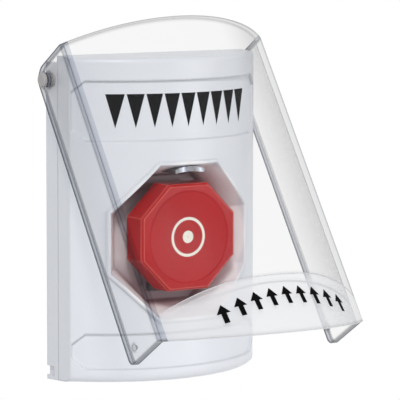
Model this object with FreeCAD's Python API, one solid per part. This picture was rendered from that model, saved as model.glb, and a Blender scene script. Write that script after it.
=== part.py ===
import FreeCAD, Part
import math
import os

# Wall-mounted push-button station with a lift-up clear lid, in millimetres.
# The wall is the plane y = 0 and the front faces -y. +z is up and +x is to the right, seen from the front.
# The origin is the middle of the two wall-box screws, on the wall.

# Housing
housing_width = 84.0
housing_height = 123.0
side_depth = 17.0
front_bulge = 18.5
end_draft = 3.0
bottom_rounding = 3.0
top_rounding = 1.5
cover_wall = 2.5
base_depth = 8.2
base_floor = 3.0
base_wall = 2.5
base_top_step = 2.2

# Wall-box screw slots, cable opening and seal
box_screw_spacing = 83.3
box_screw_radius = 2.1
box_slot_length = 7.0
opening_half_width = 24.0
opening_half_height = 23.5
gasket_margin = 5.0
gasket_thickness = 1.0

# Recesses for the legend and the small plate
recess_depth = 1.0
recess_end_margin = 0.5
recess_corner_run = 5.4
recess_corner_rise = 4.2
legend_bottom = 30.3
legend_top = 52.9
plate_bottom = -56.3
plate_top = -42.8

# Dish
dish_z = -8.3
rim_half_width = 30.6
rim_half_height = 29.3
rim_corner = 17.8
rim_raise = 1.2
rim_width = 1.1
rim_rounding = 0.45
floor_half = 24.0
floor_y = -19.6
floor_thickness = 2.5
wall_overrun = 1.1

# Button
button_z = -6.9
button_front = -35.0
button_half_width = 21.1
button_half_height = 20.3
button_skirt = 10.8
button_bevel = 0.9
button_wall = 2.2
button_hollow_radius = 17.6
button_hollow_depth = 0.8
button_travel = 4.0
boss_radius = 6.0
boss_length = 3.9
stem_radius = 3.9
spigot_radius = 2.4
spigot_length = 3.5
running_clearance = 0.08
fitted_clearance = 0.02

# Guide bush, seal, spring and clip
bush_radius = 6.0
bush_front_length = 3.8
flange_radius = 9.0
flange_thickness = 1.2
seal_thickness = 0.8
seal_radius = 9.6
spring_radius = 7.4
spring_wire = 1.2
spring_turns = 5
spring_steps = 16
wire_sides = 8
bush_end_play = 0.2
clip_thickness = 0.8
clip_radius = 6.0
clip_mouth_share = 0.8
groove_depth = 0.8

# Actuator bar, bracket and contact blocks
gap = 0.3
stop_gap = 0.4
bar_half_length = 16.0
bar_half_height = 3.0
bar_thickness = 2.0
bar_rounding = 1.5
bracket_thickness = 1.5
bracket_half_width = 19.8
bracket_below = 21.5
bracket_above = 21.5
flange_drop = 5.0
post_x = 17.0
post_z = 16.0
post_radius = 3.2
post_hole_radius = 1.3
screw_head_radius = 2.7
screw_head_height = 1.8
screw_slot_width = 0.8
screw_slot_depth = 0.7
screw_shank_radius = 1.25
screw_length = 6.0
block_x = 11.0
block_half_width = 7.0
block_half_height = 13.0
block_depth = 7.2
plunger_radius = 2.2
plunger_bore_depth = 5.4
plunger_nose = 0.7
plunger_insertion = 1.0
block_bevel = 1.0
terminal_z = 8.8
terminal_radius = 2.0
terminal_height = 1.2
terminal_shank_radius = 1.0
terminal_shank_length = 3.0

# Reset slide and latch plate
reset_x = -5.6
reset_z = -26.6
reset_width = 7.0
reset_height = 3.4
reset_proud = 0.3
reset_length = 7.6
reset_collar = 1.2
reset_collar_thickness = 1.0
sliding_clearance = 0.15
tool_slot_width = 3.4
tool_slot_height = 1.0
tool_slot_depth = 1.5
latch_thickness = 1.0
latch_lip = 2.4
latch_tab = 3.5
latch_tab_height = 1.4
guide_width = 0.8

# Lens and its lamp board
lens_half_width = 6.6
lens_arc_rise = 1.3
lens_thickness = 2.0
lens_end_height = 1.3
lens_top_z = 20.2
lens_front = -35.6
lens_length = 13.4
board_half_width = 11.0
board_height = 11.0
board_thickness = 1.4
board_lift = 1.9
board_screw_x = 8.0
board_screw_rise = 7.5
lamp_pitch = 4.5
lamp_radius = 1.5
lamp_height = 1.0
lamp_nose = 0.5
lamp_rise = 1.7
connector_width = 6.0
connector_height = 4.0
connector_depth = 3.0
connector_wall = 1.0

# Cover screws and top tabs
cover_screw_x = 20.0
cover_screw_y = -12.5
pad_half = 4.5
pad_thickness = 1.5
lug_height = 6.0
lug_clearance = 0.3
counterbore_depth = 2.0
tab_x = 22.0
tab_half_width = 6.0
tab_reach = 4.8
tab_thickness = 1.7

# Lid, in its own frame: "drop" runs down from the hinge axis and "reach" runs out from it, lid closed
hinge_y = -4.5
hinge_below_top = 8.8
lid_side_gap = 1.6
lid_reach = 17.6
lid_bulge = 18.9
lid_wall = 2.2
lid_behind = 4.1
lid_above = 5.2
lid_below = 4.0
lid_top_rounding = 5.0
lid_cheek_angle = 60.0
lid_bottom_rounding = 3.0
lid_open_angle = 33.25
lip_step = 0.7
lip_flare = 4.6
lip_length = 28.0
lip_run_up = 5.0
lip_crease_drop = 109.4
lip_crease_slope = 16.8
lip_edge_slope = 25.5
nub_above_bottom = 2.6
nub_reach = -1.2
nub_radius = 1.3
nub_tip_radius = 0.65
nub_gap = 0.3
notch_depth = 1.2
notch_margin = 0.5

# Hinge pins
pin_radius = 2.7
pin_bevel = 0.45
pin_proud = 1.2
pin_tail_radius = 1.7
pin_tail_length = 7.5
pin_boss_length = 8.5
pin_boss_half_height = 4.5

V = FreeCAD.Vector
X_AXIS = V(1, 0, 0)
Y_AXIS = V(0, 1, 0)
Z_AXIS = V(0, 0, 1)
FAR = 80.0  # longer than any piece is deep, for cutting tools
OVER = 1.0  # how far a short tool runs past the piece that it cuts

half_width = housing_width / 2
half_height = housing_height / 2
hinge_z = half_height - hinge_below_top
lid_width = housing_width + 2 * (lid_side_gap + lid_wall)
lid_drop = hinge_z + half_height + lid_below
front_radius = (half_width ** 2 + front_bulge ** 2) / (2 * front_bulge)
front_centre_y = front_radius - side_depth - front_bulge
tan_octagon = math.tan(math.radians(22.5))


# Basic solids
def box(x0, x1, y0, y1, z0, z1):
    return Part.makeBox(x1 - x0, y1 - y0, z1 - z0, V(x0, y0, z0))


def rod_x(radius, x0, x1, y, z):
    return Part.makeCylinder(radius, x1 - x0, V(x0, y, z), X_AXIS)


def rod_y(radius, x, z, y0, y1):
    return Part.makeCylinder(radius, y1 - y0, V(x, y0, z), Y_AXIS)


def rod_z(radius, x, y, z0, z1):
    return Part.makeCylinder(radius, z1 - z0, V(x, y, z0), Z_AXIS)


def plate_y(points, y0, y1):
    """A straight prism along y from an outline of (x, z) points."""
    outline = [V(x, y0, z) for x, z in points]
    face = Part.Face(Part.makePolygon(outline + outline[:1]))
    return face.extrude(V(0, y1 - y0, 0))


def bar_x(points, x0, x1):
    """A straight prism along x from an outline of (y, z) points."""
    outline = [V(x0, y, z) for y, z in points]
    face = Part.Face(Part.makePolygon(outline + outline[:1]))
    return face.extrude(V(x1 - x0, 0, 0))


def flat_face(points):
    return Part.Face(Part.makePolygon(points + points[:1]))


def solid_of(faces):
    shell = Part.makeShell(faces)
    shell.sewShape()
    solid = Part.makeSolid(shell)
    if solid.Volume < 0:
        solid.reverse()
    return solid


def octagon(half_x, half_z, corner, z):
    """Corner points (x, z) of an octagon with its corners cut by the given leg, from the lower left round."""
    flat_x = half_x - corner
    flat_z = half_z - corner
    return [
        (-flat_x, z - half_z), (flat_x, z - half_z), (half_x, z - flat_z), (half_x, z + flat_z),
        (flat_x, z + half_z), (-flat_x, z + half_z), (-half_x, z + flat_z), (-half_x, z - flat_z),
    ]


def regular_octagon(half, z):
    return octagon(half, half, half * (1 - tan_octagon), z)


def bulged_outline(half, corner_y, bulge, inset, rear_y, z):
    """A level outline with straight sides and a round front; inset moves its sides and front inwards."""
    radius = (half ** 2 + bulge ** 2) / (2 * bulge)
    centre_y = corner_y - bulge + radius
    inner_radius = radius - inset
    inner_half = half - inset
    inner_corner = centre_y - math.sqrt(inner_radius ** 2 - inner_half ** 2)
    rear_left = V(-inner_half, rear_y, z)
    rear_right = V(inner_half, rear_y, z)
    front_left = V(-inner_half, inner_corner, z)
    front_right = V(inner_half, inner_corner, z)
    front = Part.Arc(front_left, V(0, centre_y - inner_radius, z), front_right).toShape()
    sides = [
        Part.makeLine(rear_left, front_left),
        front,
        Part.makeLine(front_right, rear_right),
        Part.makeLine(rear_right, rear_left),
    ]
    return Part.Wire(sides)


def bulged_plan(half, corner_y, bulge, inset, rear_y, z0, z1):
    """A prism along z on the level outline."""
    outline = bulged_outline(half, corner_y, bulge, inset, rear_y, z0)
    return Part.Face(outline).extrude(V(0, 0, z1 - z0))


def front_surface_y(x, raise_by):
    """The y of the housing's round front at x, moved outwards by raise_by."""
    return front_centre_y - math.sqrt((front_radius + raise_by) ** 2 - x ** 2)


def pan_screw_y(x, z, seat_y, head_radius, head_height, shank_radius, shank_length):
    """A pan head screw whose head lies behind seat_y and whose shank runs towards -y."""
    head = rod_y(head_radius, x, z, seat_y, seat_y + head_height)
    shank = rod_y(shank_radius, x, z, seat_y - shank_length, seat_y)
    top = seat_y + head_height
    slot = box(x - head_radius, x + head_radius, top - screw_slot_depth, top,
               z - screw_slot_width / 2, z + screw_slot_width / 2)
    return head.fuse(shank).removeSplitter().cut(slot)


# Housing blank, cover and back plate
def housing_blank():
    flare = side_depth * math.tan(math.radians(end_draft))
    plan = bulged_plan(half_width, -side_depth, front_bulge, 0, 0, -FAR, FAR)
    side = bar_x([
        (0, -half_height - flare), (-side_depth, -half_height), (-FAR, -half_height),
        (-FAR, half_height), (-side_depth, half_height), (0, half_height + flare),
    ], -FAR, FAR)
    blank = plan.common(side)
    for level, rounding in ((-half_height, bottom_rounding), (half_height, top_rounding)):
        edges = [edge for edge in blank.Edges if lies_on_front_rim(edge, level)]
        blank = blank.makeFillet(rounding, edges)
    return blank


def lies_on_front_rim(edge, level):
    box_of_edge = edge.BoundBox
    at_level = abs(box_of_edge.ZMin - level) < 0.01 and abs(box_of_edge.ZMax - level) < 0.01
    return at_level and box_of_edge.XLength > half_width and box_of_edge.YLength > front_bulge / 2


def dish_tool(grow, floor_at):
    """The dish as a solid: ruled walls from the octagonal floor through the rim line on the round front."""
    spread = grow * (1 - tan_octagon)
    rim = octagon(rim_half_width + grow, rim_half_height + grow, rim_corner + spread, dish_z)
    floor = regular_octagon(floor_half + grow, dish_z)
    faces = []
    for index in range(8):
        rim_side = rim[index], rim[(index + 1) % 8]
        floor_side = floor[index], floor[(index + 1) % 8]
        rim_points = wall_points(rim_side, floor_side, floor_at)
        floor_edge = Part.makeLine(*[V(x, floor_at, z) for x, z in floor_side])
        far_edge = Part.makeLine(*[V(point.x, -FAR, point.z) for point in (rim_points[0], rim_points[-1])])
        curve = Part.BSplineCurve()
        curve.interpolate(rim_points)
        rim_edge = curve.toShape()
        faces.append(Part.makeRuledSurface(floor_edge, rim_edge))
        faces.append(Part.makeRuledSurface(rim_edge, far_edge))
    far = [wall_points((rim[i], rim[i]), (floor[i], floor[i]), floor_at)[0] for i in range(8)]
    faces.append(flat_face([V(x, floor_at, z) for x, z in floor]))
    faces.append(flat_face([V(point.x, -FAR, point.z) for point in far]))
    return solid_of(faces)


def wall_points(rim_side, floor_side, floor_at):
    """Points along one dish wall, a little beyond its rim line and in line with the floor points."""
    steps = 2
    points = []
    for step in range(steps + 1):
        share = step / steps
        x, z = between(*rim_side, share)
        foot_x, foot_z = between(*floor_side, share)
        rim_point = V(x, front_surface_y(x, rim_raise), z)
        foot = V(foot_x, floor_at, foot_z)
        points.append(foot + (rim_point - foot) * wall_overrun)
    return points


def between(start, end, share):
    return start[0] + (end[0] - start[0]) * share, start[1] + (end[1] - start[1]) * share


def rim_boss():
    """The raised block round the dish, before the dish is cut."""
    spread = rim_width * (1 - tan_octagon)
    outline = octagon(rim_half_width + rim_width, rim_half_height + rim_width, rim_corner + spread, dish_z)
    raised = bulged_plan(half_width, -side_depth, front_bulge, -rim_raise, 0, -FAR, FAR)
    return plate_y(outline, -FAR, floor_y).common(raised)


def dished(blank):
    """The blank with its raised rim, its dish and both edges of the rim rounded."""
    front = blank.fuse(rim_boss()).cut(dish_tool(0, floor_y))
    crest = min(front.Faces, key=distance_from_rim)
    return front.makeFillet(rim_rounding, crest.Edges)


def distance_from_rim(face):
    """How far a face's box is from the box of the rim's crest."""
    bounds = face.BoundBox
    top = dish_z + rim_half_height + rim_width
    right = rim_half_width + rim_width
    front = -(side_depth + front_bulge + rim_raise)
    return abs(bounds.ZMax - top) + abs(bounds.XMax - right) + abs(bounds.YMin - front)


def recess_tool(z0, z1):
    """A shallow recess in the round front with cut corners, its walls square to the surface."""
    end_angle = math.degrees(math.asin(half_width / front_radius) - recess_end_margin / front_radius)
    floor = front_centre_y - front_radius + recess_depth
    outside = floor - recess_depth - cover_wall
    axis = V(0, front_centre_y, 0)
    section = flat_face([V(0, floor, z0), V(0, outside, z0), V(0, outside, z1), V(0, floor, z1)])
    ring = section.revolve(axis, Z_AXIS, end_angle)
    ring = ring.fuse(section.revolve(axis, Z_AXIS, -end_angle)).removeSplitter()
    for side in (-1, 1):
        for level, inward in ((z0, 1), (z1, -1)):
            far_x = side * recess_corner_run
            far_z = level - inward * recess_corner_rise
            corner = plate_y([
                (far_x, far_z), (-2 * far_x, far_z), (far_x, level + inward * recess_corner_rise * 2),
            ], outside - OVER, floor + OVER)
            corner.rotate(axis, Z_AXIS, side * end_angle)
            ring = ring.cut(corner)
    return ring


# Cover
def cavity():
    """The hollow inside the cover, with the dish walls left standing in it."""
    room = bulged_plan(half_width, -side_depth, front_bulge, cover_wall, 0,
                       -half_height + cover_wall, half_height - cover_wall)
    return room.cut(dish_tool(cover_wall, floor_back))


def housing_cover():
    blank = housing_blank().cut(box(-FAR, FAR, -base_depth, FAR, -FAR, FAR))
    cover = dished(blank).cut(cavity())
    cover = cover.cut(recess_tool(legend_bottom, legend_top))
    cover = cover.cut(recess_tool(plate_bottom, plate_top))
    for x, z in bracket_posts:
        post = rod_y(post_radius, x, z, floor_back - OVER, bracket_front)
        cover = cover.fuse(post).cut(rod_y(post_hole_radius, x, z, floor_back, bracket_front))
    for side in (-1, 1):
        x = side * board_screw_x
        post = rod_y(post_radius, x, board_screw_z, front_surface_y(x, -cover_wall / 2), board_front)
        hole = rod_y(post_hole_radius, x, board_screw_z, board_front - screw_length, board_front)
        cover = cover.fuse(post).cut(hole)
        cover = cover.fuse(cover_pad(side)).cut(cover_screw_hole(side))
    cover = cover.cut(rod_y(bush_radius + fitted_clearance, 0, button_z, floor_y - OVER, floor_back + OVER))
    cover = cover.cut(reset_outline(sliding_clearance, floor_y - OVER, floor_back + OVER))
    cover = cover.cut(lens_shape(fitted_clearance, -FAR, lens_front + lens_length + fitted_clearance))
    return cover


def cover_pad(side):
    x = side * cover_screw_x
    level = -half_height + cover_wall
    return box(x - pad_half, x + pad_half, cover_screw_y - pad_half, -base_depth,
               level - OVER, level + pad_thickness)


def cover_screw_hole(side):
    x = side * cover_screw_x
    head = rod_z(screw_head_radius + gap, x, cover_screw_y, -FAR, cover_screw_seat)
    shank = rod_z(screw_shank_radius + gap, x, cover_screw_y, cover_screw_seat, lug_bottom)
    return head.fuse(shank)


def cover_screws():
    screws = []
    for side in (-1, 1):
        x = side * cover_screw_x
        head = rod_z(screw_head_radius, x, cover_screw_y, cover_screw_seat - screw_head_height, cover_screw_seat)
        tip = cover_screw_seat + cover_wall + pad_thickness + screw_length - counterbore_depth
        shank = rod_z(screw_shank_radius, x, cover_screw_y, cover_screw_seat, tip)
        socket = rod_z(screw_shank_radius, x, cover_screw_y, cover_screw_seat - screw_head_height,
                       cover_screw_seat - screw_head_height / 2)
        screws.append(head.fuse(shank).removeSplitter().cut(socket))
    return Part.makeCompound(screws)


# Back plate
def back_plate():
    blank = housing_blank()
    top = half_height - base_top_step
    plate = blank.common(box(-FAR, FAR, -base_depth, 0, -FAR, top))
    plate = plate.cut(box(-half_width + base_wall, half_width - base_wall, -base_depth - OVER, -base_floor,
                          -half_height + base_wall, top - base_wall))
    plate = plate.cut(box(-opening_half_width, opening_half_width, -base_floor - OVER, OVER,
                          button_z - opening_half_height, button_z + opening_half_height))
    for side in (-1, 1):
        plate = plate.cut(slot_z(0, side * box_screw_spacing / 2))
        plate = plate.fuse(top_tab(side, top)).fuse(lug(side)).cut(lug_hole(side))
        plate = plate.fuse(pin_boss(side)).cut(pin_hole(side)).cut(detent_notch(side))
    plate = plate.cut(wall_gasket())
    return plate.removeSplitter()


def slot_z(x, z):
    """A round-ended screw slot along z through the base floor."""
    run = box_slot_length / 2 - box_screw_radius
    slot = box(x - box_screw_radius, x + box_screw_radius, -base_floor - OVER, OVER, z - run, z + run)
    for end in (-run, run):
        slot = slot.fuse(rod_y(box_screw_radius, x, z + end, -base_floor - OVER, OVER))
    return slot


def top_tab(side, top):
    x = side * tab_x
    upper = half_height - cover_wall - lug_clearance
    return box(x - tab_half_width, x + tab_half_width, -base_depth - tab_reach, -base_floor,
               upper - tab_thickness, upper)


def lug(side):
    x = side * cover_screw_x
    return box(x - pad_half, x + pad_half, cover_screw_y - pad_half, -base_floor,
               lug_bottom, lug_bottom + lug_height)


def lug_hole(side):
    x = side * cover_screw_x
    return rod_z(screw_shank_radius + fitted_clearance, x, cover_screw_y,
                 lug_bottom - OVER, lug_bottom + lug_height + OVER)


def pin_boss(side):
    x0 = half_width - base_wall - pin_boss_length
    x1 = half_width - base_wall
    z0 = hinge_z - pin_boss_half_height
    z1 = hinge_z + pin_boss_half_height
    boss = box(x0, x1, -base_depth, -base_floor, z0, z1)
    return boss if side > 0 else boss.mirror(V(0, 0, 0), X_AXIS)


def pin_hole(side):
    hole = rod_x(pin_tail_radius + fitted_clearance, half_width - pin_tail_length, half_width + OVER,
                 hinge_y, hinge_z)
    return hole if side > 0 else hole.mirror(V(0, 0, 0), X_AXIS)


def detent_notch(side):
    """The notch that the closed lid's nub drops into."""
    depth_y = -nub_y + nub_radius + notch_margin
    half = nub_radius + notch_margin
    notch = box(half_width - notch_depth, half_width + OVER, -depth_y, OVER, nub_z - half, nub_z + half)
    return notch if side > 0 else notch.mirror(V(0, 0, 0), X_AXIS)


def wall_gasket():
    half_x = opening_half_width + gasket_margin
    half_z = opening_half_height + gasket_margin
    outer = box(-half_x, half_x, -gasket_thickness, 0, button_z - half_z, button_z + half_z)
    inner = box(-opening_half_width, opening_half_width, -gasket_thickness - OVER, OVER,
                button_z - opening_half_height, button_z + opening_half_height)
    return outer.cut(inner)


# Hinge pins and lid
def hinge_pin(side):
    head = rod_x(pin_radius, half_width, lid_width / 2 + pin_proud, hinge_y, hinge_z)
    head = head.makeChamfer(pin_bevel, [outer_edge(head, X_AXIS)])
    tail = rod_x(pin_tail_radius, half_width - pin_tail_length, half_width, hinge_y, hinge_z)
    pin = head.fuse(tail).removeSplitter()
    return pin if side > 0 else pin.mirror(V(0, 0, 0), X_AXIS)


def outer_edge(shape, direction):
    """The edge that lies furthest along a direction."""
    return max(shape.Edges, key=lambda edge: edge.BoundBox.Center.dot(direction))


def at(drop, reach):
    """(y, z) of a point of the closed lid."""
    return (hinge_y - reach, hinge_z - drop)


def lid_side_blank():
    """The side view of the lid, with cheeks round about the hinge so that it swings clear of the wall."""
    slope = math.tan(math.radians(lip_edge_slope))
    run = FAR - lid_reach
    angle = math.radians(lid_cheek_angle)
    heel = (-lid_behind * math.tan(angle / 2), -lid_behind)
    brow = (-lid_above, (lid_above * math.sin(angle) - lid_behind) / math.cos(angle))
    foot = (lid_drop, -lid_behind)
    points = [at(-lid_above, FAR), at(*brow), at(*heel), at(*foot), at(lid_drop, lid_reach),
              at(lid_drop + run * slope, FAR)]
    blank = bar_x(points, -FAR, FAR)
    for place, rounding in ((brow, lid_top_rounding), (heel, lid_behind), (foot, lid_bottom_rounding)):
        y, z = at(*place)
        corner = [edge for edge in blank.Edges
                  if abs(edge.BoundBox.Center.y - y) < 0.01 and abs(edge.BoundBox.Center.z - z) < 0.01]
        blank = blank.makeFillet(rounding, corner)
    return blank


def lid_plan(inset, rear_reach, z0, z1):
    """The lid's bulged plan, straight up and down."""
    return bulged_plan(lid_width / 2, hinge_y - lid_reach, lid_bulge, inset, hinge_y - rear_reach, z0, z1)


def flared_lip(inset, rear_reach):
    """The lip: below the crease the lid's front bulges more and more, while its corners stay in line."""
    outlines = [
        bulged_outline(lid_width / 2, hinge_y - lid_reach, lid_bulge + lip_step + flare, inset,
                       hinge_y - rear_reach, hinge_z - drop)
        for drop, flare in ((lip_top_drop, 0), (lip_top_drop + lip_length, lip_flare))
    ]
    return Part.makeLoft(outlines, True, True).cut(above_crease(inset))


def above_crease(inset):
    """All that lies above the arched crease where the lip begins."""
    slope = math.tan(math.radians(lip_crease_slope))
    drop = lip_crease_drop + inset
    return bar_x([
        at(drop + slope * (lid_reach + FAR), -FAR), at(drop - slope * (FAR - lid_reach), FAR),
        at(-2 * FAR, FAR), at(-2 * FAR, -FAR),
    ], -FAR, FAR)


def closed_lid():
    z0 = hinge_z - lid_drop - FAR / 2
    z1 = hinge_z + lid_above
    outer = lid_plan(0, -lid_behind, z0, z1).fuse(flared_lip(0, lid_reach - lid_wall))
    inner = lid_plan(lid_wall, -FAR, z0 - OVER, z1 + OVER).fuse(flared_lip(lid_wall, 0))
    lid = outer.cut(inner).common(lid_side_blank())
    inner_face = lid_width / 2 - lid_wall
    reach_x = inner_face - half_width - nub_gap
    for side in (-1, 1):
        nub = Part.makeCone(nub_radius, nub_tip_radius, reach_x, V(inner_face, nub_y, nub_z), V(-1, 0, 0))
        eye = rod_x(pin_radius + running_clearance, half_width, lid_width / 2 + OVER, hinge_y, hinge_z)
        if side < 0:
            nub = nub.mirror(V(0, 0, 0), X_AXIS)
            eye = eye.mirror(V(0, 0, 0), X_AXIS)
        lid = lid.fuse(nub).cut(eye)
    return lid.removeSplitter()


def lid():
    opened = closed_lid()
    opened.rotate(V(0, hinge_y, hinge_z), X_AXIS, -lid_open_angle)
    return opened


# Button, stem, bush, spring and clip
def cap_octagon(inset):
    half = (button_half_width + button_half_height) / 2
    corner = (half - inset) * (1 - tan_octagon)
    return octagon(button_half_width - inset, button_half_height - inset, corner, button_z)


def button_cap():
    cap = plate_y(cap_octagon(0), button_front, button_front + button_skirt)
    front_edges = [edge for edge in cap.Edges if edge.BoundBox.YMax < button_front + 0.01]
    cap = cap.makeChamfer(button_bevel, front_edges)
    sphere_radius = (button_hollow_radius ** 2 + button_hollow_depth ** 2) / (2 * button_hollow_depth)
    hollow = Part.makeSphere(sphere_radius, V(0, button_front + button_hollow_depth - sphere_radius, button_z))
    inside = plate_y(cap_octagon(button_wall), cap_inner, FAR)
    boss = rod_y(boss_radius, 0, button_z, cap_inner, boss_rear)
    hole = rod_y(spigot_radius + fitted_clearance, 0, button_z, boss_rear - spigot_length, boss_rear)
    return cap.cut(hollow).cut(inside).fuse(boss).cut(hole).removeSplitter()


def button_stem():
    shaft = rod_y(stem_radius, 0, button_z, boss_rear, clip_front + clip_thickness)
    front = rod_y(spigot_radius, 0, button_z, boss_rear - spigot_length, boss_rear)
    rear = rod_y(spigot_radius, 0, button_z, clip_front + clip_thickness, bar_front + bar_thickness)
    groove = rod_y(stem_radius + OVER, 0, button_z, clip_front, clip_front + clip_thickness)
    groove = groove.cut(rod_y(stem_radius - groove_depth, 0, button_z, clip_front, clip_front + clip_thickness))
    return shaft.cut(groove).fuse(front).fuse(rear).removeSplitter()


def stem_bush():
    tube = rod_y(bush_radius, 0, button_z, bush_flange_front - bush_front_length + flange_thickness, bush_rear)
    flange = rod_y(flange_radius, 0, button_z, bush_flange_front, bush_flange_front + flange_thickness)
    bore = rod_y(stem_radius + running_clearance, 0, button_z, -FAR, FAR)
    return tube.fuse(flange).cut(bore).removeSplitter()


def dust_seal():
    ring = rod_y(seal_radius, 0, button_z, floor_y - seal_thickness, floor_y)
    return ring.cut(rod_y(bush_radius + fitted_clearance, 0, button_z, -FAR, FAR))


def return_spring():
    """A coil between the bush flange and the cap, drawn with flat facets."""
    start = bush_flange_front - spring_wire / 2 - fitted_clearance
    end = cap_inner + spring_wire / 2 + fitted_clearance
    steps = spring_turns * spring_steps
    rings = [spring_ring(step, start + (end - start) * step / steps) for step in range(steps + 1)]
    faces = [flat_face(rings[0]), flat_face(rings[-1])]
    for near, far in zip(rings, rings[1:]):
        for side in range(wire_sides):
            after = (side + 1) % wire_sides
            faces.append(flat_face([near[side], near[after], far[side]]))
            faces.append(flat_face([near[after], far[after], far[side]]))
    return solid_of(faces)


def spring_ring(step, y):
    """The wire's outline at one step of the coil: a ring in the plane through the coil's axis."""
    turn = 2 * math.pi * step / spring_steps
    ring = []
    for side in range(wire_sides):
        around = 2 * math.pi * side / wire_sides
        radius = spring_radius + math.cos(around) * spring_wire / 2
        ring.append(V(radius * math.cos(turn), y + math.sin(around) * spring_wire / 2,
                      button_z + radius * math.sin(turn)))
    return ring


def stem_clip():
    ring = rod_y(clip_radius, 0, button_z, clip_front, clip_front + clip_thickness)
    hole = rod_y(stem_radius - groove_depth + fitted_clearance, 0, button_z, -FAR, FAR)
    mouth_half = (stem_radius - groove_depth) * clip_mouth_share
    mouth = box(-mouth_half, mouth_half, clip_front - OVER, clip_front + clip_thickness + OVER,
                button_z, button_z + FAR)
    return ring.cut(hole).cut(mouth)


def actuator_bar():
    bar = box(-bar_half_length, bar_half_length, bar_front, bar_front + bar_thickness,
              button_z - bar_half_height, button_z + bar_half_height)
    ends = [edge for edge in bar.Edges if edge.BoundBox.YLength > bar_thickness / 2]
    bar = bar.makeFillet(bar_rounding, ends)
    return bar.cut(rod_y(spigot_radius + fitted_clearance, 0, button_z, -FAR, FAR))


# Switch bracket and contacts
def switch_bracket():
    z0 = button_z - bracket_below
    z1 = button_z + bracket_above
    bracket = box(-bracket_half_width, bracket_half_width, bracket_front, bracket_rear, z0, z1)
    for side in (-1, 1):
        x_outer = side * bracket_half_width
        x_inner = side * (bracket_half_width - bracket_thickness)
        flange = box(min(x_outer, x_inner), max(x_outer, x_inner), bracket_rear, bracket_rear + flange_drop,
                     button_z - block_half_height / 2, button_z + block_half_height / 2)
        bracket = bracket.fuse(flange)
        bore = rod_y(plunger_radius + gap, side * block_x, button_z, bracket_front - OVER, bracket_rear + OVER)
        bracket = bracket.cut(bore)
        x_guide = reset_x + side * (reset_width / 2 + gap + guide_width / 2)
        guide = box(x_guide - guide_width / 2, x_guide + guide_width / 2,
                    bracket_front - latch_thickness - gap, bracket_front, latch_bottom, latch_top)
        bracket = bracket.fuse(guide)
    for x, z in bracket_posts:
        hole = rod_y(screw_shank_radius + fitted_clearance, x, z, bracket_front - OVER, bracket_rear + OVER)
        bracket = bracket.cut(hole)
    return bracket.removeSplitter()


def bracket_screws():
    return Part.makeCompound([
        pan_screw_y(x, z, bracket_rear, screw_head_radius, screw_head_height,
                    screw_shank_radius, screw_length)
        for x, z in bracket_posts
    ])


def contact_block(side):
    x = side * block_x
    block = box(x - block_half_width, x + block_half_width, bracket_rear, bracket_rear + block_depth,
                button_z - block_half_height, button_z + block_half_height)
    upright = [edge for edge in block.Edges if edge.BoundBox.YLength > block_depth / 2]
    block = block.makeChamfer(block_bevel, upright)
    block = block.cut(rod_y(plunger_radius + running_clearance, x, button_z,
                            bracket_rear, bracket_rear + plunger_bore_depth))
    for z in terminal_places:
        seat = block_rear - terminal_height - gap
        block = block.cut(rod_y(terminal_radius + gap, x, z, seat, block_rear))
        block = block.cut(rod_y(terminal_shank_radius + fitted_clearance, x, z, seat - terminal_shank_length, seat))
        wire_way = box(x - terminal_radius, x + terminal_radius, seat - terminal_radius, seat,
                       *sorted((z, button_z + math.copysign(block_half_height + OVER, z - button_z))))
        block = block.cut(wire_way)
    return block


def contact_plunger(side):
    x = side * block_x
    front = bar_front + bar_thickness + gap
    plunger = rod_y(plunger_radius, x, button_z, front, bracket_rear + plunger_insertion)
    tip = outer_edge(plunger, V(0, -1, 0))
    return plunger.makeChamfer(plunger_nose, [tip])


def terminal_screws():
    screws = []
    for side in (-1, 1):
        for z in terminal_places:
            seat = block_rear - terminal_height - gap
            screws.append(pan_screw_y(side * block_x, z, seat, terminal_radius, terminal_height,
                                      terminal_shank_radius, terminal_shank_length))
    return Part.makeCompound(screws)


# Reset slide and latch plate
def reset_outline(margin, y0, y1):
    half_x = reset_width / 2 + margin
    half_z = reset_height / 2 + margin
    return box(reset_x - half_x, reset_x + half_x, y0, y1, reset_z - half_z, reset_z + half_z)


def reset_slide():
    """The slide's rear end is a 45 degree wedge that drives the latch plate down."""
    slide = reset_outline(0, reset_front, reset_rear)
    collar = reset_outline(reset_collar, floor_back + gap, floor_back + gap + reset_collar_thickness)
    top = reset_z + reset_height / 2
    wedge = bar_x([
        (reset_rear, top), (reset_rear + OVER, top), (reset_rear + OVER, top - FAR),
        (reset_rear - FAR, top - FAR),
    ], -FAR, FAR)
    slot = box(reset_x - tool_slot_width / 2, reset_x + tool_slot_width / 2,
               reset_front, reset_front + tool_slot_depth,
               reset_z - tool_slot_height / 2, reset_z + tool_slot_height / 2)
    return slide.cut(wedge).fuse(collar).cut(slot).removeSplitter()


def latch_plate():
    """A plate with a lip that catches the actuator bar and a sloped tab that the reset slide pushes."""
    half = reset_width / 2
    front = bracket_front - gap - latch_thickness
    plate = box(reset_x - half, reset_x + half, front, front + latch_thickness, latch_bottom, latch_top)
    lip = box(reset_x - half, -clip_radius - gap, front - latch_lip, front,
              latch_top - latch_thickness, latch_top)
    slope_top = reset_z + reset_height / 2 + front - reset_rear - gap * math.sqrt(2)
    slope_end = slope_top - latch_tab
    tab = bar_x([
        (front, slope_top), (front - latch_tab, slope_end),
        (front - latch_tab, slope_end - latch_tab_height),
        (front, slope_end - latch_tab_height),
    ], reset_x - half, reset_x + half)
    return plate.fuse(lip).fuse(tab).removeSplitter()


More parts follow.
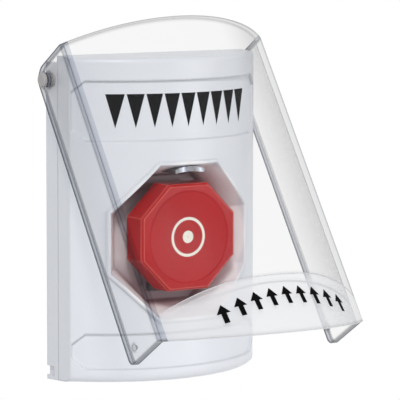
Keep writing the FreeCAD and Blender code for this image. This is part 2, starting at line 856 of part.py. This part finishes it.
# Lens and lamp board
def lens_shape(margin, y0, y1):
    """An arched strip along y with blunt ends, gently hollow below."""
    half = lens_half_width + margin
    top = lens_top_z + margin
    low = lens_top_z - lens_thickness - margin
    end_top = lens_top_z - lens_arc_rise + margin
    end_low = lens_top_z - lens_arc_rise - lens_end_height - margin
    upper = Part.Arc(V(-half, y0, end_top), V(0, y0, top), V(half, y0, end_top)).toShape()
    lower = Part.Arc(V(half, y0, end_low), V(0, y0, low), V(-half, y0, end_low)).toShape()
    right = Part.makeLine(V(half, y0, end_top), V(half, y0, end_low))
    left = Part.makeLine(V(-half, y0, end_low), V(-half, y0, end_top))
    return Part.Face(Part.Wire([upper, right, lower, left])).extrude(V(0, y1 - y0, 0))


def indicator_lens():
    return lens_shape(0, lens_front, lens_front + lens_length)


def led_board():
    board = box(-board_half_width, board_half_width, board_front, board_front + board_thickness,
                board_bottom, board_bottom + board_height)
    for side in (-1, 1):
        hole = rod_y(screw_shank_radius + fitted_clearance, side * board_screw_x, board_screw_z, -FAR, FAR)
        board = board.cut(hole)
    return board


def leds():
    lamps = []
    for index in (-1, 0, 1):
        lamp = rod_y(lamp_radius, index * lamp_pitch, lamp_z, board_front - lamp_height, board_front)
        lamps.append(lamp.makeChamfer(lamp_nose, [outer_edge(lamp, V(0, -1, 0))]))
    return Part.makeCompound(lamps)


def board_connector():
    rear = board_front + board_thickness
    z0 = board_bottom + board_lift
    shell = box(-connector_width / 2, connector_width / 2, rear, rear + connector_depth,
                z0, z0 + connector_height)
    pocket = box(-connector_width / 2 + connector_wall, connector_width / 2 - connector_wall,
                 rear + connector_wall, rear + connector_depth + OVER,
                 z0 + connector_wall, z0 + connector_height - connector_wall)
    return shell.cut(pocket)


def board_screws():
    return Part.makeCompound([
        pan_screw_y(side * board_screw_x, board_screw_z, board_front + board_thickness, screw_head_radius,
                    screw_head_height, screw_shank_radius, screw_length)
        for side in (-1, 1)
    ])


# Places that several pieces share
floor_back = floor_y + floor_thickness
cap_inner = button_front + button_wall
boss_rear = cap_inner + boss_length
bush_flange_front = floor_y - seal_thickness - flange_thickness
bush_rear = floor_back + bush_end_play
clip_front = bush_rear + bush_end_play
bar_front = clip_front + clip_thickness
bracket_front = bar_front + bar_thickness + button_travel + stop_gap
bracket_rear = bracket_front + bracket_thickness
block_rear = bracket_rear + block_depth
bracket_posts = [(i * post_x, button_z + j * post_z) for i in (-1, 1) for j in (-1, 1)]
terminal_places = [button_z - terminal_z, button_z + terminal_z]
reset_front = floor_y - reset_proud
reset_rear = reset_front + reset_length
latch_top = button_z - bar_half_height - gap
latch_bottom = reset_z - reset_height
board_front = lens_front + lens_length + lamp_height + gap
board_bottom = dish_z + floor_half + cover_wall + board_lift
board_screw_z = board_bottom + board_screw_rise
lamp_z = lens_top_z + lamp_rise
lug_bottom = -half_height + cover_wall + pad_thickness + lug_clearance
cover_screw_seat = -half_height + counterbore_depth
nub_y = hinge_y - nub_reach
nub_z = -half_height + nub_above_bottom
lip_top_drop = lip_crease_drop - lip_run_up

PARTS = {
    "housing_cover": housing_cover,
    "cover_screws": cover_screws,
    "back_plate": back_plate,
    "wall_gasket": wall_gasket,
    "hinge_pin_left": lambda: hinge_pin(-1),
    "hinge_pin_right": lambda: hinge_pin(1),
    "lid": lid,
    "button_cap": button_cap,
    "button_stem": button_stem,
    "stem_bush": stem_bush,
    "dust_seal": dust_seal,
    "return_spring": return_spring,
    "stem_clip": stem_clip,
    "actuator_bar": actuator_bar,
    "switch_bracket": switch_bracket,
    "bracket_screws": bracket_screws,
    "contact_block_left": lambda: contact_block(-1),
    "contact_block_right": lambda: contact_block(1),
    "contact_plunger_left": lambda: contact_plunger(-1),
    "contact_plunger_right": lambda: contact_plunger(1),
    "terminal_screws": terminal_screws,
    "reset_slide": reset_slide,
    "latch_plate": latch_plate,
    "indicator_lens": indicator_lens,
    "led_board": led_board,
    "leds": leds,
    "board_connector": board_connector,
    "board_screws": board_screws,
}


os.makedirs("parts", exist_ok=True)
for name, make in PARTS.items():
    make().exportStep("parts/" + name + ".step")
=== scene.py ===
import math

import bmesh
import bpy
from mathutils import Matrix, Vector
from mathutils.bvhtree import BVHTree


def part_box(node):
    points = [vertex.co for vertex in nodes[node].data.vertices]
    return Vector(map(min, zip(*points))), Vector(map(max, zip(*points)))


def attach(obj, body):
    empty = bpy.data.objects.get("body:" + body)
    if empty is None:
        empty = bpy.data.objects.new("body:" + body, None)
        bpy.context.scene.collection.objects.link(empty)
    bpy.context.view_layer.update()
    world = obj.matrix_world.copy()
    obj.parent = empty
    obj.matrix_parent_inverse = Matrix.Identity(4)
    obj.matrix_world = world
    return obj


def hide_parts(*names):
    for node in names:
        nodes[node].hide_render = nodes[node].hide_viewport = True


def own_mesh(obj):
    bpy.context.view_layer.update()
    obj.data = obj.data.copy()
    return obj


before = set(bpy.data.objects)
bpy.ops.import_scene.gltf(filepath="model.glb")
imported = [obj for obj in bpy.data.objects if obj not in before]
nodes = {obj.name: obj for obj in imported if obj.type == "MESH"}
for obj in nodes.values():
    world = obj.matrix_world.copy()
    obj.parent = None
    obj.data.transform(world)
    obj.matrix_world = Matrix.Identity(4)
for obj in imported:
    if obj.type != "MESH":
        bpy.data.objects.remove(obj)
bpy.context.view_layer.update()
MM = 0.001

# Places on the part, in metres, that the materials, the marks and the coil follow
HINGE_Y = -4.5 * MM
HINGE_Z = 52.7 * MM
LID_ANGLE = math.radians(33.25)
LIP_FACING = (0.0, -0.8009, -0.6707)
LIP_START = 82.97 * MM
LIP_HALF_WIDTH = 43.4 * MM
PANEL_Z = 41.6 * MM
BUTTON_Z = -6.9 * MM
DISH_Z = -8.3 * MM
DISH_FLOOR_Y = -19.6 * MM
SPRING_WIRE = 1.2 * MM
SPRING_TURNS = 5

# Measures of the looks, in metres
AXIS_SPAN = 50 * MM
DISH_DEPTH_SPAN = 10 * MM
DISH_SIDE_SPAN = 25 * MM
DISH_FLOOR_SKIN = 0.3 * MM
EDGE_HIGHLIGHT_REACH = 0.6 * MM
HOLLOW_STEP = 0.25 * MM
PRINT_LIFT = 0.05 * MM
LONGEST_MARK_EDGE = 0.9 * MM
IN_FRONT = 0.2

WHITE = (1.0, 1.0, 1.0, 1.0)


def linear(red, green, blue):
    """A colour from 8 bit sRGB values."""
    return tuple(
        ((value / 255 + 0.055) / 1.055) ** 2.4 if value > 10 else value / 255 / 12.92
        for value in (red, green, blue)
    ) + (1.0,)


def grey(value):
    return (value, value, value, 1.0)


def scaled(colour, factor):
    return tuple(min(1.0, value * factor) for value in colour[:3]) + (1.0,)


def new_object(name, mesh):
    """An object of the mesh, linked to the scene."""
    piece = bpy.data.objects.new(name, mesh)
    bpy.context.scene.collection.objects.link(piece)
    return piece


# Node trees
class Graph:
    """Short calls for building a node tree."""

    def __init__(self, tree):
        self.tree = tree

    def node(self, kind, **settings):
        """A node with its settings; a key that names an input sets that input's value."""
        node = self.tree.nodes.new(kind)
        for key, value in settings.items():
            if key in node.inputs:
                node.inputs[key].default_value = value
            else:
                setattr(node, key, value)
        return node

    def link(self, source, target):
        self.tree.links.new(source, target)

    def feed(self, node, values):
        """Gives a node's first inputs the values, each a socket or a constant."""
        for index, value in enumerate(values):
            if isinstance(value, bpy.types.NodeSocket):
                self.link(value, node.inputs[index])
            else:
                node.inputs[index].default_value = value
        return node

    def calc(self, operation, *values, clamp=False):
        node = self.node("ShaderNodeMath", operation=operation, use_clamp=clamp)
        return self.feed(node, values).outputs[0]

    def vector(self, operation, *values):
        node = self.node("ShaderNodeVectorMath", operation=operation)
        result = "Value" if operation in ("DISTANCE", "DOT_PRODUCT") else "Vector"
        return self.feed(node, values).outputs[result]

    def mixed(self, share, first, second):
        """The first shader, giving way to the second as the share goes to 1."""
        return self.feed(self.node("ShaderNodeMixShader"), (share, first, second)).outputs["Shader"]

    def seen_plainly(self):
        """1 for rays from the camera, from gloss and through glass; 0 for lighting."""
        path = self.node("ShaderNodeLightPath")
        straight = self.calc("MAXIMUM", path.outputs["Is Camera Ray"], path.outputs["Is Glossy Ray"])
        return self.calc("MAXIMUM", straight, path.outputs["Is Transmission Ray"])


class Material(Graph):
    """A node material with a Principled shader; the values set that shader's inputs."""

    def __init__(self, name, **values):
        self.material = bpy.data.materials.new(name)
        self.material.use_nodes = True
        super().__init__(self.material.node_tree)
        self.shader = self.tree.nodes["Principled BSDF"]
        self.output = self.tree.nodes["Material Output"]
        for key, value in values.items():
            self.shader.inputs[key.replace("_", " ")].default_value = value

    def given(self, name):
        """The socket that feeds one of the shader's inputs."""
        return self.shader.inputs[name].links[0].from_socket

    def coords(self):
        return self.node("ShaderNodeTexCoord").outputs["Object"]

    def axes(self, vector):
        """The X, Y and Z sockets of a vector socket."""
        return self.feed(self.node("ShaderNodeSeparateXYZ"), (vector,)).outputs

    def noise(self, scale, detail=3.0, roughness=0.5):
        node = self.node("ShaderNodeTexNoise", Scale=scale, Detail=detail, Roughness=roughness)
        self.link(self.coords(), node.inputs["Vector"])
        return node.outputs["Fac"]

    def ramp(self, source, stops):
        node = self.node("ShaderNodeValToRGB")
        elements = node.color_ramp.elements
        while len(elements) < len(stops):
            elements.new(0.5)
        for element, (position, colour) in zip(elements, stops):
            element.position = position
            element.color = colour
        self.link(source, node.inputs["Fac"])
        return node.outputs["Color"]

    def blended(self, share, first, second):
        """The first colour, giving way to the second as the share goes to 1."""
        node = self.node("ShaderNodeMix", data_type="RGBA")
        self.link(share, node.inputs["Factor"])
        self.link(first, node.inputs[6])
        self.link(second, node.inputs[7])
        return node.outputs[2]

    def bump(self, height, strength, distance, edge=0.0):
        """A fine surface relief, with the solid's sharp edges softened over the given radius."""
        node = self.node("ShaderNodeBump", Strength=strength, Distance=distance)
        if edge:
            soft = self.node("ShaderNodeBevel", samples=6, Radius=edge)
            self.link(soft.outputs["Normal"], node.inputs["Normal"])
        self.link(height, node.inputs["Height"])
        return node.outputs["Normal"]

    def near_edge(self, reach):
        """1 on a flat face, falling to about 0.7 on a square edge."""
        soft = self.node("ShaderNodeBevel", samples=8, Radius=reach)
        face = self.node("ShaderNodeNewGeometry")
        return self.vector("DOT_PRODUCT", soft.outputs["Normal"], face.outputs["Normal"])

    def from_axis(self, z):
        """The distance from an axis that runs front to back at a height, as a share of AXIS_SPAN."""
        per_span = 1 / AXIS_SPAN
        flat = self.vector("MULTIPLY", self.coords(), (per_span, 0.0, per_span))
        return self.vector("DISTANCE", flat, (0.0, 0.0, z * per_span))

    def beyond_walls(self):
        """1 in the lid's cheeks and its front corners, 0 between them."""
        across = self.calc("ABSOLUTE", self.axes(self.coords())["X"])
        return self.calc("GREATER_THAN", across, LIP_HALF_WIDTH)

    def on_cut_face(self):
        """1 on the narrow faces in line with the lid's cheeks, such as those of its front corners."""
        face = self.node("ShaderNodeNewGeometry")
        aside = self.calc("ABSOLUTE", self.axes(face.outputs["Normal"])["X"])
        return self.calc("MULTIPLY", self.calc("LESS_THAN", aside, 0.8), self.beyond_walls())

    def on_lip(self):
        """1 on the lid's lip between its cheeks, below the crease."""
        out = self.vector("DOT_PRODUCT", self.coords(), LIP_FACING)
        past = self.calc("GREATER_THAN", out, LIP_START)
        return self.calc("SUBTRACT", past, self.beyond_walls(), clamp=True)


# Materials
def moulded_graph(name, colour, roughness, grain=900.0, bump=0.12, mottle=0.03, wear=0.06, edge=0.0,
                  shine=0.5):
    """Moulded plastic: a fine grain, slight mottling and uneven gloss."""
    g = Material(name, IOR=1.49, Specular_IOR_Level=shine)
    shades = [(0.35, scaled(colour, 1 - mottle)), (0.65, scaled(colour, 1 + mottle))]
    gloss = [(0.3, grey(roughness - wear)), (0.7, grey(roughness + wear))]
    g.link(g.ramp(g.noise(35.0, 4.0), shades), g.shader.inputs["Base Color"])
    g.link(g.ramp(g.noise(60.0, 5.0, 0.6), gloss), g.shader.inputs["Roughness"])
    g.link(g.bump(g.noise(grain, 2.0), bump, 0.1 * MM, edge), g.shader.inputs["Normal"])
    return g


def moulded(name, colour, roughness, **settings):
    return moulded_graph(name, colour, roughness, **settings).material


def housing_with_painted_dish_shade(name, base, edge):
    """Moulded plastic whose dish has painted light and shade: its walls painted whiter than the plastic, and
    a painted red-brown shade round the button that stands for shadow and the button's red bounce light.
    """
    g = moulded_graph(name, base, 0.34, grain=1400.0, bump=0.08, mottle=0.008, edge=edge)
    plain = g.given("Base Color")
    place = g.axes(g.coords())
    # From the dish floor forwards, and above or below the dish's middle
    height = g.calc("MULTIPLY_ADD", place["Y"], -1 / DISH_DEPTH_SPAN, DISH_FLOOR_Y / DISH_DEPTH_SPAN)
    off_middle = g.calc("ABSOLUTE", g.calc("SUBTRACT", place["Z"], DISH_Z))
    share = g.calc("DIVIDE", off_middle, DISH_SIDE_SPAN)
    # Painted light: dish walls whiter than the plastic, with a pinkish painted shade at the floor
    light = g.ramp(height, [
        (0.0, linear(232, 222, 223)), (0.4, linear(248, 245, 245)), (0.65, linear(250, 250, 250)),
    ])
    # Painted shade: dark red-brown at the dish floor, for shadow and the button's red bounce light
    painted_dusk_shade = g.ramp(height, [
        (0.0, linear(126, 92, 98)), (0.2, linear(168, 136, 140)), (0.42, linear(236, 222, 222)),
        (0.65, linear(250, 249, 249)),
    ])
    # The painted shade is strongest above and below the dish's middle, the painted light at its sides
    shade = g.blended(g.ramp(share, [(0.25, grey(0.0)), (0.75, grey(1.0))]), light, painted_dusk_shade)
    # The painted light and shade cover only the dish, behind the housing's front
    inside = g.ramp(g.from_axis(DISH_Z), [(0.600, grey(1.0)), (0.622, grey(0.0))])
    ahead = g.calc("LESS_THAN", place["Y"], DISH_FLOOR_Y + DISH_FLOOR_SKIN)
    g.link(g.blended(g.calc("MULTIPLY", inside, ahead), plain, shade), g.shader.inputs["Base Color"])
    return g.material


def pressed_face(name, base, edge):
    """Glossy moulded plastic with a painted highlight along its edges and a faint step round the hollow of
    the button's face.
    """
    g = moulded_graph(name, base, 0.2, grain=1100.0, bump=0.05, mottle=0.04, edge=edge, shine=0.16)
    plain = g.given("Base Color")
    # Painted highlight: an orange-white stripe along the sharp edges, where lamps would glint
    turn = g.near_edge(EDGE_HIGHLIGHT_REACH)
    pale = g.ramp(turn, [(0.93, linear(240, 146, 128)), (0.96, linear(200, 52, 50))])
    line = g.ramp(turn, [(0.955, grey(1.0)), (0.975, grey(0.0))])
    g.link(g.blended(line, plain, pale), g.shader.inputs["Base Color"])
    hollow = g.ramp(g.from_axis(BUTTON_Z), [(0.344, grey(0.0)), (0.358, grey(1.0))])
    step = g.node("ShaderNodeBump", Strength=1.0, Distance=HOLLOW_STEP)
    g.link(hollow, step.inputs["Height"])
    g.link(g.given("Normal"), step.inputs["Normal"])
    g.link(step.outputs["Normal"], g.shader.inputs["Normal"])
    return g.material


def metal(name, colour, roughness, scale=(200.0, 200.0, 2500.0)):
    """Plated or drawn metal with fine streaks."""
    g = Material(name, Metallic=1.0)
    mapping = g.node("ShaderNodeMapping", Scale=scale)
    g.link(g.coords(), mapping.inputs["Vector"])
    noise = g.node("ShaderNodeTexNoise", Scale=1.0, Detail=3.0)
    g.link(mapping.outputs["Vector"], noise.inputs["Vector"])
    streak = noise.outputs["Fac"]
    gloss = [(0.3, grey(roughness - 0.08)), (0.7, grey(roughness + 0.08))]
    g.link(g.ramp(streak, [(0.3, scaled(colour, 0.85)), (0.7, colour)]), g.shader.inputs["Base Color"])
    g.link(g.ramp(streak, gloss), g.shader.inputs["Roughness"])
    g.link(g.bump(streak, 0.15, 0.05 * MM), g.shader.inputs["Normal"])
    return g.material


def clear(name, haze, shine, edge=1.0 * MM, frosted=0.0):
    """Clear plastic seen straight through, with painted highlight and painted shade lines along its cut
    edges.

    haze and shine are the shares that a face sends back, square on and at a glance; frosted is that of the
    lid's lip."""
    g = Material(name, IOR=1.49)
    g.shader.inputs["Base Color"].default_value = (0.78, 0.78, 0.79, 1.0)
    gloss = g.ramp(g.noise(45.0, 5.0, 0.6), [(0.4, grey(0.04)), (0.75, grey(0.12))])
    g.link(gloss, g.shader.inputs["Roughness"])
    g.link(g.bump(g.noise(18.0, 2.0), 0.05, 0.5 * MM), g.shader.inputs["Normal"])

    # What passes through: a tint by angle, with painted shade along the edges and in the cut faces
    facing = g.node("ShaderNodeLayerWeight", Blend=0.5).outputs["Facing"]
    tint = g.ramp(facing, [(0.0, grey(0.965)), (0.45, grey(0.960)), (0.64, grey(0.88)), (1.0, grey(0.75))])
    turn = g.near_edge(edge * 2.4)
    # Painted shade along the edges, stronger in the cheeks and front corners
    faint = g.ramp(turn, [(0.72, grey(0.66)), (0.88, grey(0.76)), (0.97, grey(0.88)), (1.0, WHITE)])
    strong = g.ramp(turn, [(0.72, grey(0.30)), (0.88, grey(0.48)), (0.97, grey(0.72)), (1.0, WHITE)])
    edges = g.vector("MULTIPLY", tint, g.blended(g.beyond_walls(), faint, strong))
    # Painted shade: a blue-grey tint on the cut faces of the front corners
    cut_face_painted_shade = g.ramp(g.on_cut_face(), [(0.0, WHITE), (1.0, (0.74, 0.76, 0.81, 1.0))])
    through = g.node("ShaderNodeBsdfTransparent")
    g.link(g.vector("MULTIPLY", edges, cut_face_painted_shade), through.inputs["Color"])

    # What is sent back: more at a glance, a painted highlight on the sharpest edges, the frosting on the lip,
    # and nothing for lighting
    by_angle = g.ramp(facing, [
        (0.0, grey(haze)), (0.6, grey(haze * 1.5)), (0.85, grey(shine * 0.4)), (1.0, grey(shine)),
    ])
    # Painted highlight along the sharpest edges
    painted_edge_highlight = g.ramp(g.near_edge(edge * 0.8), [(0.70, grey(0.85)), (0.79, grey(0.8)), (0.85, grey(0.0))])
    sent = g.calc("MAXIMUM", by_angle, painted_edge_highlight)
    if frosted:
        sent = g.calc("MAXIMUM", sent, g.calc("MULTIPLY", g.on_lip(), frosted))
    path = g.node("ShaderNodeLightPath")
    lighting = g.calc("MAXIMUM", path.outputs["Is Shadow Ray"], path.outputs["Is Diffuse Ray"])
    share = g.calc("MULTIPLY", sent, g.calc("SUBTRACT", 1.0, lighting))
    surface = g.mixed(share, through.outputs["BSDF"], g.shader.outputs["BSDF"])
    g.link(surface, g.output.inputs["Surface"])
    return g.material


def faceted(name, facets):
    """A clear lens moulded with upright facets, drawn opaque: its colour is painted in dark, grey, white and
    blue stripes that stand for the facets' reflections and the view through them.
    """
    g = Material(name, IOR=1.5, Roughness=0.06, Coat_Weight=1.0)
    node = g.node("ShaderNodeTexWave", bands_direction="X", wave_profile="SAW", Scale=facets, Distortion=1.2)
    g.link(g.coords(), node.inputs["Vector"])
    wave = node.outputs["Fac"]
    # Painted reflections: dark, grey, white and blue stripes across the facets
    painted_facet_reflections = g.ramp(wave, [
        (0.0, linear(20, 20, 26)), (0.35, linear(60, 62, 72)), (0.5, linear(150, 156, 172)),
        (0.62, linear(214, 220, 232)), (0.8, linear(54, 60, 92)),
    ])
    g.link(painted_facet_reflections, g.shader.inputs["Base Color"])
    g.link(g.bump(wave, 0.5, 0.6 * MM), g.shader.inputs["Normal"])
    return g.material


WHITE_PLASTIC = linear(227, 229, 233)
EVEN_STREAKS = (900.0, 900.0, 900.0)

housing = housing_with_painted_dish_shade("housing_plastic", WHITE_PLASTIC, 1.4 * MM)
plate = moulded("plate_plastic", WHITE_PLASTIC, 0.34, grain=1400.0, bump=0.08, mottle=0.008, edge=0.6 * MM)
red = pressed_face("button_plastic", linear(178, 15, 21), 0.6 * MM)
pin = moulded("pin_plastic", linear(172, 168, 166), 0.45)
black = moulded("black_plastic", linear(36, 36, 38), 0.5, bump=0.2)
inner = moulded("inner_plastic", linear(216, 214, 205), 0.45)
block = moulded("block_plastic", linear(52, 54, 60), 0.5, bump=0.2)
plunger = moulded("plunger_plastic", linear(60, 130, 78), 0.4)
seal = moulded("seal_rubber", linear(42, 42, 43), 0.85, grain=700.0, bump=0.6, mottle=0.15, wear=0.08)
board = moulded("board_laminate", linear(30, 96, 58), 0.4, grain=300.0, bump=0.15, mottle=0.12)
spring_steel = metal("spring_steel", linear(190, 192, 196), 0.3)
bracket_steel = metal("bracket_steel", linear(200, 202, 206), 0.35)
screw_steel = metal("screw_steel", linear(196, 197, 200), 0.3, EVEN_STREAKS)
brass = metal("terminal_brass", linear(208, 178, 110), 0.28, EVEN_STREAKS)
lid_clear = clear("clear_plastic", 0.010, 0.7, frosted=0.42)
led_clear = clear("led_plastic", 0.06, 0.9, edge=0.3 * MM)
lens_clear = faceted("lens_plastic", 38.0)
print_black = moulded("print_black", linear(12, 12, 13), 0.6, grain=2500.0, bump=0.25, mottle=0.2, shine=0.02)
print_white = moulded("print_white", linear(238, 234, 220), 0.42, grain=2500.0, bump=0.2, mottle=0.02)

MATERIALS = {
    housing: ["housing_cover"],
    plate: ["back_plate"],
    red: ["button_cap"],
    pin: ["hinge_pin_left", "hinge_pin_right"],
    black: ["reset_slide", "board_connector"],
    inner: ["button_stem", "stem_bush", "actuator_bar"],
    block: ["contact_block_left", "contact_block_right"],
    plunger: ["contact_plunger_left", "contact_plunger_right"],
    seal: ["wall_gasket", "dust_seal"],
    board: ["led_board"],
    spring_steel: ["return_spring", "stem_clip"],
    bracket_steel: ["switch_bracket", "latch_plate"],
    screw_steel: ["cover_screws", "bracket_screws", "board_screws"],
    brass: ["terminal_screws"],
    lid_clear: ["lid"],
    lens_clear: ["indicator_lens"],
    led_clear: ["leds"],
}
for material, names in MATERIALS.items():
    for name in names:
        mesh = nodes[name].data
        mesh.materials.clear()
        mesh.materials.append(material)


# The return spring, drawn as a round coil at rest in the model's spring box; the real spring shortens as the
# button goes in, this coil does not
def round_coil(name, low, high, wire, turns, steps=40, sides=12):
    """A round wire wound about an axis that runs front to back, filling the box from low to high."""
    mesh = bpy.data.meshes.new(name)
    work = bmesh.new()
    radius = (high.x - low.x - wire) / 2
    middle_x, middle_z = (low.x + high.x) / 2, BUTTON_Z
    rings = []
    for step in range(turns * steps + 1):
        turn = 2 * math.pi * step / steps
        y = high.y - wire / 2 - (high.y - low.y - wire) * step / (turns * steps)
        ring = []
        for side in range(sides):
            around = 2 * math.pi * side / sides
            out = radius + math.cos(around) * wire / 2
            x = middle_x + out * math.cos(turn)
            z = middle_z + out * math.sin(turn)
            ring.append(work.verts.new((x, y + math.sin(around) * wire / 2, z)))
        rings.append(ring)
    for near, far in zip(rings, rings[1:]):
        for side in range(sides):
            after = (side + 1) % sides
            work.faces.new([near[side], near[after], far[after], far[side]]).smooth = True
    work.faces.new(rings[0])
    work.faces.new(rings[-1])
    bmesh.ops.recalc_face_normals(work, faces=work.faces)
    work.to_mesh(mesh)
    work.free()
    mesh.materials.append(spring_steel)
    return new_object(name, mesh)


def button_spring():
    low, high = (Vector(corner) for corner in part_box("return_spring"))
    coil = round_coil("spring_coil", low, high, SPRING_WIRE, SPRING_TURNS)
    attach(coil, "station")
    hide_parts("return_spring")
    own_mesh(coil)


button_spring()


# Printed marks: plain shapes laid on the surface that carries them
def laid_on(name, outlines, carrier, body, material, place, inward):
    """Flat outlines of (across, along) points, set in space by place() and dropped on the carrier."""
    mesh = bpy.data.meshes.new(name)
    work = bmesh.new()
    for outline in outlines:
        work.faces.new([work.verts.new((x, y, 0)) for x, y in outline])
    bmesh.ops.triangulate(work, faces=work.faces)
    for _ in range(6):
        long_edges = [edge for edge in work.edges if edge.calc_length() > LONGEST_MARK_EDGE]
        if long_edges:
            bmesh.ops.subdivide_edges(work, edges=long_edges, cuts=1)
            bmesh.ops.triangulate(work, faces=work.faces)
    under = nodes[carrier].data
    surface = BVHTree.FromPolygons([vertex.co for vertex in under.vertices],
                                   [polygon.vertices for polygon in under.polygons])
    for vertex in work.verts:
        hit = surface.ray_cast(place(vertex.co.x, vertex.co.y), inward)[0]
        vertex.co = hit - inward * PRINT_LIFT
    work.to_mesh(mesh)
    work.free()
    mesh.materials.append(material)
    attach(new_object(name, mesh), body)


def on_front(across, up):
    """A point in front of the housing."""
    return Vector((across, -IN_FRONT, up))


def on_open_lid(across, drop):
    """A point in front of the lid at rest, the given way down from the hinge."""
    out = Vector((across, -IN_FRONT, -drop))
    return Matrix.Translation((0, HINGE_Y, HINGE_Z)) @ Matrix.Rotation(-LID_ANGLE, 4, "X") @ out


def triangle_down(x, z, half_width, half_height):
    return [(x - half_width, z + half_height), (x, z - half_height), (x + half_width, z + half_height)]


def arrow_up(x, drop, half_width, half_height):
    """An upward arrow; drop grows downwards."""
    neck = drop - half_height * 0.05
    stem = half_width * 0.38
    return [
        (x, drop - half_height), (x + half_width, neck), (x + stem, neck), (x + stem, drop + half_height),
        (x - stem, drop + half_height), (x - stem, neck), (x - half_width, neck),
    ]


def ring(centre_z, outer, inner, parts=48):
    """A flat ring as separate quads."""
    quads = []
    for index in range(parts):
        first = 2 * math.pi * index / parts
        second = 2 * math.pi * (index + 1) / parts
        corners = ((outer, first), (outer, second), (inner, second), (inner, first))
        quads.append([(radius * math.cos(angle), centre_z + radius * math.sin(angle))
                      for radius, angle in corners])
    return quads


def printed_marks():
    """Nine triangles on the label panel, a ring and dot on the button, nine arrows on the lid's lip."""
    places = range(-4, 5)
    backwards = Vector((0, 1, 0))
    panel_pitch = 7.0 * MM
    row = [triangle_down(index * panel_pitch, PANEL_Z, 3.2 * MM, 6.4 * MM) for index in places]
    laid_on("panel_marks", row, "housing_cover", "station", print_black, on_front, backwards)
    target = ring(BUTTON_Z, 7.6 * MM, 6.5 * MM) + ring(BUTTON_Z, 2.4 * MM, 0.2 * MM)
    laid_on("button_mark", target, "button_cap", "button", print_white, on_front, backwards)
    # The arrows follow the lip's arc, in millimetres from the hinge
    arrows = []
    for index in places:
        x = index * 6.4
        arc = 113.5 + 0.0045 * x ** 2
        arrows.append(arrow_up(x * MM, arc * MM, 2.4 * MM, 3.8 * MM))
    into_lid = Matrix.Rotation(-LID_ANGLE, 3, "X") @ backwards
    laid_on("lip_marks", arrows, "lid", "lid", print_black, on_open_lid, into_lid)


printed_marks()


# Floor, light and world
def stage_floor():
    """A pale floor that the camera sees as plain white."""
    half_size, level = 6.0, -0.30
    corners = [(-half_size, -half_size, 0), (half_size, -half_size, 0),
               (half_size, half_size, 0), (-half_size, half_size, 0)]
    mesh = bpy.data.meshes.new("floor")
    mesh.from_pydata(corners, [], [(0, 1, 2, 3)])
    floor = new_object("floor", mesh)
    floor.location = (0, 0, level)
    g = Material("floor_pale", Roughness=0.9)
    g.shader.inputs["Base Color"].default_value = (0.86, 0.86, 0.86, 1.0)
    plain = g.node("ShaderNodeEmission", Color=WHITE)
    surface = g.mixed(g.seen_plainly(), g.shader.outputs["BSDF"], plain.outputs["Emission"])
    g.link(surface, g.output.inputs["Surface"])
    mesh.materials.append(g.material)


def lamp(name, place, aim, size, power):
    """A round area lamp that points at aim."""
    data = bpy.data.lights.new(name, "AREA")
    data.shape = "DISK"
    data.size = size
    data.energy = power
    light = new_object(name, data)
    light.location = place
    light.rotation_euler = (Vector(aim) - Vector(place)).to_track_quat("-Z", "Y").to_euler()


def world_light(strength):
    """An even sky that lights the part and shows as plain white."""
    world = bpy.data.worlds.new("studio")
    bpy.context.scene.world = world
    world.use_nodes = True
    g = Graph(world.node_tree)
    background = g.tree.nodes["Background"]
    background.inputs["Color"].default_value = (0.94, 0.96, 1.0, 1.0)
    background.inputs["Strength"].default_value = strength
    white = g.node("ShaderNodeBackground", Color=WHITE)
    surface = g.mixed(g.seen_plainly(), background.outputs["Background"], white.outputs["Background"])
    g.link(surface, g.tree.nodes["World Output"].inputs["Surface"])


def photo_camera():
    """The camera as fitted to the photograph."""
    azimuth, elevation, roll = math.radians(-33.75), math.radians(6.35), math.radians(0.1)
    distance, focal_pixels, frame_pixels = 1.0576, 2735.5, 400
    target = Vector((0.01496, -0.020, 0.00494))
    level = math.cos(elevation)
    back = Vector((math.sin(azimuth) * level, -math.cos(azimuth) * level, math.sin(elevation)))
    right = Vector((math.cos(azimuth), math.sin(azimuth), 0))
    up = back.cross(right)
    turned_right = right * math.cos(roll) + up * math.sin(roll)
    turned_up = up * math.cos(roll) - right * math.sin(roll)
    data = bpy.data.cameras.new("photo_camera")
    data.sensor_width = 36.0
    data.lens = focal_pixels / frame_pixels * data.sensor_width
    camera = new_object("photo_camera", data)
    axes = Matrix((turned_right, turned_up, back)).transposed().to_4x4()
    camera.matrix_world = Matrix.Translation(target + back * distance) @ axes
    bpy.context.scene.camera = camera


LAMP_AIM = (0, -0.02, 0)

stage_floor()
world_light(0.56)
lamp("key", (-0.55, -0.95, 0.85), LAMP_AIM, size=0.35, power=8.5)
lamp("fill", (0.75, -1.0, 0.05), LAMP_AIM, size=0.6, power=2.8)
photo_camera()
bpy.context.scene.view_settings.view_transform = "Standard"
